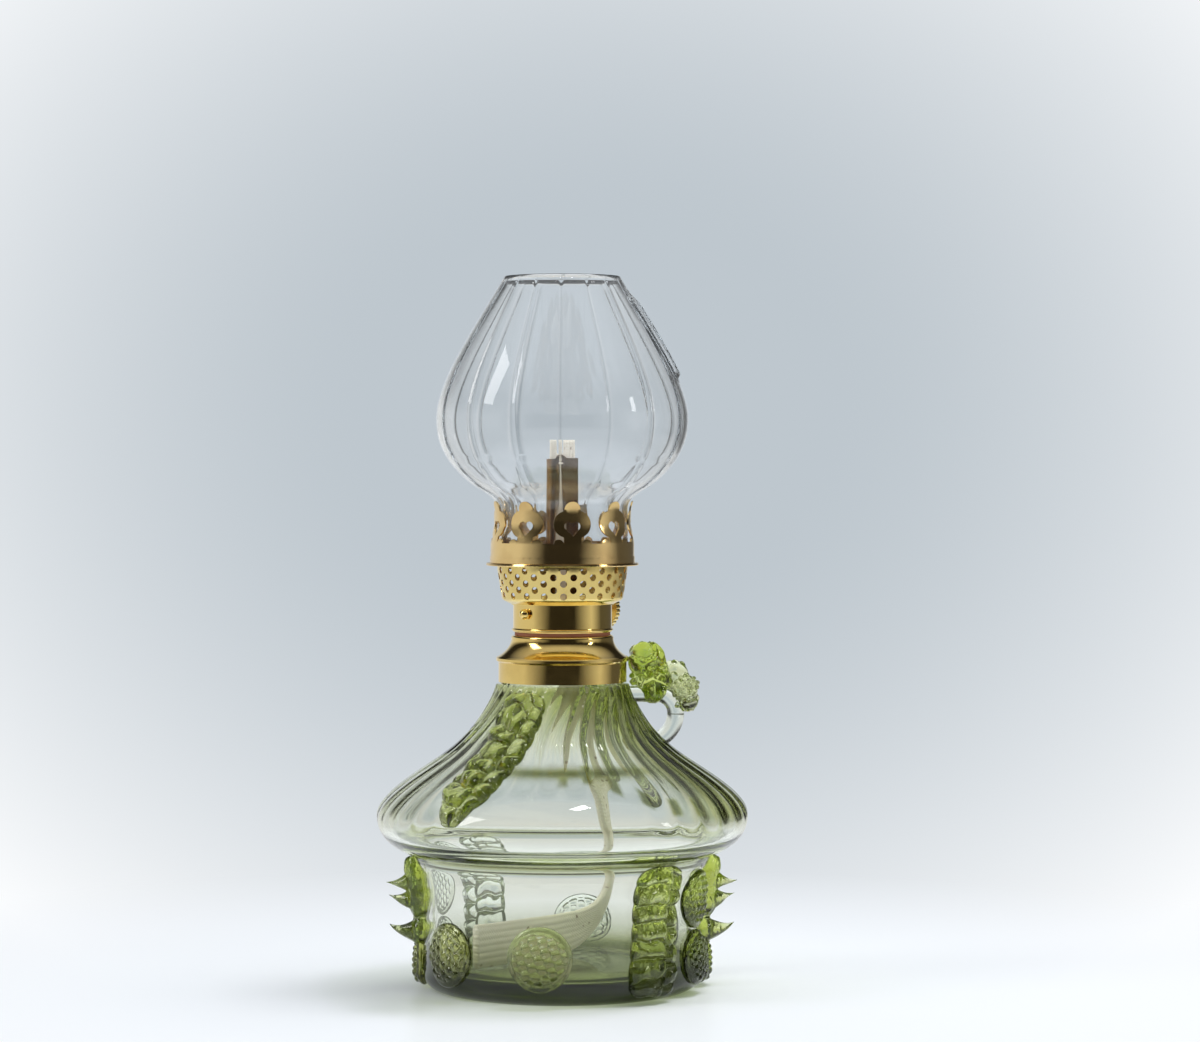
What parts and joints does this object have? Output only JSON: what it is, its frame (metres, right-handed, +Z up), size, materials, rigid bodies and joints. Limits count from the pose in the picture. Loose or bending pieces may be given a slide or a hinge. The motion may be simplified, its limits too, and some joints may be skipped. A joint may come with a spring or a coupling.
{
  "type": "kerosene lamp",
  "caption": "Glass kerosene table lamp with raspberry prunts, a small loop handle, a screwed brass flat-wick burner and a fluted clear chimney.",
  "frame": {"origin": "middle of the foot's underside", "axes": "+Z up along the lamp's axis, -Y towards the front, +X to the right; the handle is at the right and a little to the back"},
  "size_m": [0.115, 0.115, 0.2201],
  "materials": {
    "pale_glass": "blown pale green glass with swirl ribs",
    "olive_glass": "hot-applied olive green glass",
    "crest_glass": "pale green pressed raspberry",
    "strap_glass": "clear pulled strap",
    "chimney_glass": "clear fluted glass",
    "brass": "polished drawn brass",
    "cement": "set plaster",
    "washer": "pressed fibre",
    "cotton": "flat woven cotton wick"
  },
  "bodies": {
    "font": {"font": "pale_glass", "prunt_front": "olive_glass", "prunt_front_left": "olive_glass", "prunt_far_left": "olive_glass", "prunt_right_upper": "olive_glass", "prunt_right_lower": "olive_glass", "prunt_back": "olive_glass", "prunt_back_right": "olive_glass", "prunt_far_right": "olive_glass", "prunt_back_left_upper": "olive_glass", "prunt_back_left_lower": "olive_glass", "thorn_strip_left": "olive_glass", "thorn_strip_right": "olive_glass", "crimped_strip_front": "olive_glass", "crimped_strip_back": "olive_glass", "shoulder_strip_front": "olive_glass", "shoulder_strip_back": "olive_glass", "handle_strap": "strap_glass", "thumb_rest": "olive_glass", "handle_crest": "crest_glass", "collar_cement": "cement", "collar_shell": "brass", "collar_thread": "brass"},
    "washer": {"seal_washer": "washer"},
    "burner": {"burner_thread": "brass", "burner_neck": "brass", "tube_plate": "brass", "wick_tube": "brass", "wheel_cage": "brass", "spindle_bush": "brass", "air_basket": "brass"},
    "winder": {"spindle": "brass", "star_wheel_near": "brass", "star_wheel_far": "brass", "spindle_head": "brass", "thumbwheel": "brass", "thumbwheel_rivet": "brass"},
    "wick": {"wick_top": "cotton", "wick_tail": "cotton"},
    "gallery": {"gallery_seat": "brass", "gallery_crown": "brass"},
    "chimney": {"chimney": "chimney_glass"}
  },
  "joints": [
    {"name": "burner_rise", "type": "slide", "parent": "font", "child": "washer", "axis": [0, 0, 1], "range_m": [0, 0.0076]},
    {"name": "burner_turn", "type": "hinge", "parent": "washer", "child": "burner", "pos_m": [0, 0, 0.105], "axis": [0, 0, 1], "range_deg": [0, 1800]},
    {"name": "wick_turn", "type": "hinge", "parent": "burner", "child": "winder", "pos_m": [-0.00383, 0.00221, 0.11605], "axis": [-0.5, -0.866, 0], "range_deg": [-160, 120]},
    {"name": "wick_slide", "type": "slide", "parent": "burner", "child": "wick", "axis": [0, 0, 1], "range_m": [-0.0079, 0.006], "deforming": ["wick_tail"]},
    {"name": "gallery_lift", "type": "slide", "parent": "burner", "child": "gallery", "axis": [0, 0, 1], "range_m": [0, 0.03]},
    {"name": "chimney_lift", "type": "slide", "parent": "gallery", "child": "chimney", "axis": [0, 0, 1], "range_m": [0, 0.04]}
  ],
  "couplings": [
    {"joint": "burner_rise", "follows": "burner_turn", "m_per_rad": 0.00023873},
    {"joint": "wick_slide", "follows": "wick_turn", "m_per_rad": 0.0028}
  ]
}
